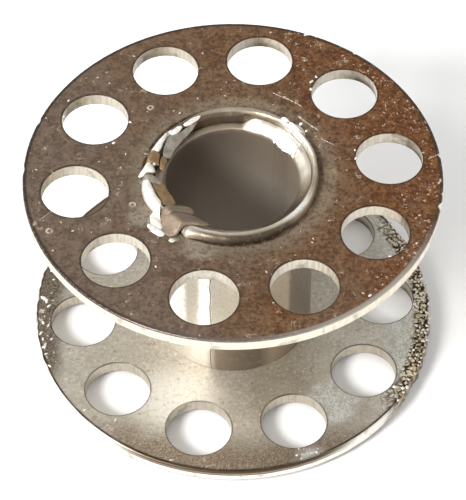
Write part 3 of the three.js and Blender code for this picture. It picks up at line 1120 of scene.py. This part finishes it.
def burrs():
    """Scraps of metal smeared and thrown up where the sleeve was curled and split."""
    shell = Shell()
    for index, (zone, thickness, lift, outline) in enumerate(SCRAPS):
        plate(shell, outline, thickness, lift, 0.04, index, zone)
    for x, y, z, size in CRUMBS:
        lump(shell, (x, y, z), (size * 1.3, size, size), 30, 0.4, seed=int(100 * size), steps=6)
    piece = shell.make("curl_burrs", (chip_steel, scraped_steel, stained_steel), soften=2)


# Start and end in plan, and width
SCORES = (((1.98, 5.42), (2.75, 4.95), 0.04), ((2.5, 5.2), (3.4, 4.5), 0.035),
          ((3.24, 3.85), (4.2, 2.9), 0.065), ((4.35, 2.35), (4.95, 1.95), 0.03),
          ((-9.3, -2.95), (-8.7, -2.3), 0.03), ((9.55, 1.0), (10.1, 1.35), 0.045))
SCORE_PARTS = 5


def face_scores():
    """Scores on the upper flange's face, each a row of uneven raised burrs."""
    shell = Shell()
    for start, end, width in SCORES:
        length = math.dist(start, end) / 2
        turn = math.degrees(math.atan2(end[1] - start[1], end[0] - start[0]))
        for part in range(SCORE_PARTS):
            share = (part + 0.5) / SCORE_PARTS
            x, y = Vector(start).lerp(Vector(end), share)
            x += 1.2 * width * wobble((part, width, 0), 0.7, 5)
            size = (length / SCORE_PARTS * (1 + 0.6 * wobble((length, part, 0), 0.7, 8)), width * 0.7, 0.03)
            swing = 14 * wobble((part, length, 0), 0.7, 2)
            lump(shell, (x, y, UPPER_FACE - 0.01), size, turn + swing, 0.6, part, 6)
    piece = shell.make("upper_face_scores", (fleck_steel,))


def hole_clearance(x, y, hole_turn):
    """Distance in plan from a point to the edge of the nearest hole."""
    pitch = 360 / HOLE_COUNT
    middle = hole_turn + pitch * round((plan_angle((x, y)) - hole_turn) / pitch)
    return math.dist((x, y), polar(HOLE_CIRCLE_RADIUS, middle)) - HOLE_RADIUS


def sprinkle(shell, tries, face, hole_turn, reach, spacing, crowd, sizes, seed, plump=(0.35, 0.7), steps=4):
    """Small chips on a face, between two radii. crowd gives each place's chance of a chip and the chip's
    zone, sizes the range of half-lengths, and plump that of widths over lengths."""
    dice = random.Random(seed)
    spots = []
    for _ in range(tries):
        radius = math.sqrt(dice.uniform(reach[0] ** 2, reach[1] ** 2))
        x, y = polar(radius, dice.uniform(0, 360))
        chance, zone = crowd(x, y)
        draw, length, turn = dice.random(), dice.uniform(*sizes), dice.uniform(0, 180)
        if draw > chance or hole_clearance(x, y, hole_turn) < length:
            continue
        if any(math.dist((x, y), spot) < spacing for spot in spots):
            continue
        spots.append((x, y))
        size = (length, length * dice.uniform(*plump), length * 0.45)
        lump(shell, (x, y, face), size, turn, 0.5, len(spots), steps, zone)


PALE_CHIP, GOLDEN_CHIP, BRIGHT_CHIP = range(3)

# Larger chips, mostly at the holes' edges: place in plan, half-length and direction
EDGE_CHIPS = ((-5.09, 3.44, 0.1, 130), (-5.86, 2.05, 0.12, 20), (-8.18, 4.88, 0.09, 60),
              (-8.39, 3.82, 0.08, 90), (-4.72, 7.1, 0.11, 100), (-6.8, 6.44, 0.06, 0),
              (-6.18, 6.05, 0.05, 0), (3.94, 6.17, 0.13, 40), (4.17, 6.51, 0.1, 120), (3.9, 5.65, 0.13, 80),
              (5.99, 1.61, 0.09, 90), (6.01, 1.06, 0.1, 60), (4.25, 9.29, 0.09, 0), (3.68, 9.4, 0.1, 30),
              (6.45, -7.5, 0.11, 40), (6.75, -7.15, 0.08, 150), (7.06, -6.85, 0.06, 60),
              (8.22, -5.59, 0.1, 70), (7.47, -5.13, 0.08, 0), (5.33, -2.04, 0.08, 100),
              (8.77, -4.33, 0.09, 50), (-4.99, -3.1, 0.05, 0))


def upper_flecks():
    """Bright flecks lifted from the tarnished face, thickest by the rim on the +X side."""
    shell = Shell()

    def crowd(x, y):
        radius = math.hypot(x, y)
        clump = smooth(wobble((x, y, 0), 0.8, 11), -0.1, 0.4)
        right = smooth(x + 0.3 * y, 4.0, 9.5) * smooth(radius, 7.0, 9.6)
        golden = wobble((x, y, 0), 0.25, 12) > -0.1 and x > 2
        return 0.01 + 0.05 * clump + 0.9 * right * clump, GOLDEN_CHIP if golden else PALE_CHIP

    sprinkle(shell, 3600, UPPER_FACE, UPPER_HOLE_TURN, (4.8, 10.05), 0.13, crowd, (0.025, 0.085), seed=4)
    for index, (x, y, size, turn) in enumerate(EDGE_CHIPS):
        golden = y < 0 and index % 2 == 1  # every second chip on the near side
        zone = GOLDEN_CHIP if golden else BRIGHT_CHIP
        lump(shell, (x, y, UPPER_FACE), (size * 0.85, size * 0.5, size * 0.35), turn, 0.5, index, 6, zone)
    piece = shell.make("upper_face_flecks", (fleck_steel, golden_steel, chip_steel))


KNOB, CHIP = range(2)

# Chips at its -X side: place in plan, half-length and direction
LEFT_CHIPS = ((-9.62, 0.55, 0.16, 80), (-9.5, 0.2, 0.14, 40), (-9.46, -1.04, 0.12, 70),
              (-9.6, -2.4, 0.2, 75), (-9.72, -1.95, 0.12, 100), (-9.52, -2.9, 0.1, 20),
              (-7.43, -6.44, 0.1, 30), (-5.86, -7.05, 0.1, 60), (-3.03, -9.49, 0.09, 0))


def lower_knobs():
    """What the pitting left standing on the lower flange: knobs at +X, chips at -X and in one cluster."""
    shell = Shell()

    def knobs(x, y):
        return right_wear(x, y) * smooth(math.hypot(x, y), 9.1, 9.5), KNOB

    def chips(x, y):
        return left_wear(x, y) * smooth(wobble((x, y, 0), 0.6, 3), 0.0, 0.4), CHIP

    def cluster(x, y):
        return 1 - smooth(math.dist((x, y), (3.7, -9.0)), 0.4, 1.0), CHIP

    face = LOWER_HIGH.z
    sprinkle(shell, 16000, face - 0.02, LOWER_HOLE_TURN, (9.05, 10.15), 0.19, knobs, (0.06, 0.115), seed=5,
             plump=(0.5, 0.9), steps=5)
    for index, (x, y, size, turn) in enumerate(LEFT_CHIPS):
        lump(shell, (x, y, face), (size, size * 0.4, size * 0.3), turn, 0.5, index, 6, CHIP)
    sprinkle(shell, 1500, face - 0.02, LOWER_HOLE_TURN, (8.9, 10.1), 0.35, chips, (0.06, 0.2), seed=6)
    sprinkle(shell, 2500, face - 0.02, LOWER_HOLE_TURN, (9.0, 10.05), 0.14, cluster, (0.04, 0.09), seed=8,
             plump=(0.5, 0.9), steps=5)
    piece = shell.make("lower_face_knobs", (knob_steel, chip_steel))


strip_tab()
burrs()
face_scores()
upper_flecks()
lower_knobs()


# --- Floor, light and world ---

def make_floor():
    bpy.ops.mesh.primitive_plane_add(size=2, location=(0, 0, 0))
    floor = bpy.context.object
    floor.name = "floor"
    material = bpy.data.materials.new("pale_floor")
    material.use_nodes = True
    shader = material.node_tree.nodes["Principled BSDF"]
    shader.inputs["Base Color"].default_value = (0.93, 0.93, 0.92, 1)
    shader.inputs["Roughness"].default_value = 0.9
    shader.inputs["Specular IOR Level"].default_value = 0.1
    shader.inputs["Emission Color"].default_value = (1, 1, 1, 1)
    shader.inputs["Emission Strength"].default_value = 0.07
    floor.data.materials.append(material)


def soft_light(name, azimuth, elevation, distance, size, power):
    data = bpy.data.lights.new(name, "AREA")
    data.shape = "DISK"
    data.size = size
    data.energy = power
    light = bpy.data.objects.new(name, data)
    bpy.context.scene.collection.objects.link(light)
    turn, lift = math.radians(azimuth), math.radians(elevation)
    direction = Vector((math.cos(lift) * math.cos(turn), math.cos(lift) * math.sin(turn), math.sin(lift)))
    light.location = direction * distance
    light.rotation_euler = direction.to_track_quat("Z", "Y").to_euler()


def make_world():
    """A pale room: bright near the horizon, dimmer overhead."""
    world = bpy.data.worlds.new("studio")
    bpy.context.scene.world = world
    world.use_nodes = True
    tree = world.node_tree
    coordinates = tree.nodes.new("ShaderNodeTexCoord")
    split = tree.nodes.new("ShaderNodeSeparateXYZ")
    tree.links.new(coordinates.outputs["Generated"], split.inputs[0])
    ramp = tree.nodes.new("ShaderNodeValToRGB")
    tree.links.new(split.outputs["Z"], ramp.inputs["Fac"])
    ramp.color_ramp.elements[0].position = 0.2
    ramp.color_ramp.elements[0].color = (1, 1, 1, 1)
    ramp.color_ramp.elements[1].position = 0.6
    ramp.color_ramp.elements[1].color = (0.42, 0.42, 0.42, 1)
    tree.links.new(ramp.outputs["Color"], tree.nodes["Background"].inputs["Color"])


make_floor()
make_world()
soft_light("key", 225, 39, 0.4, 0.13, 1.9)
soft_light("fill_left", 170, 30, 0.4, 0.3, 0.5)
soft_light("fill_right", 345, 42, 0.4, 0.4, 0.2)
bpy.context.scene.view_settings.view_transform = "Standard"
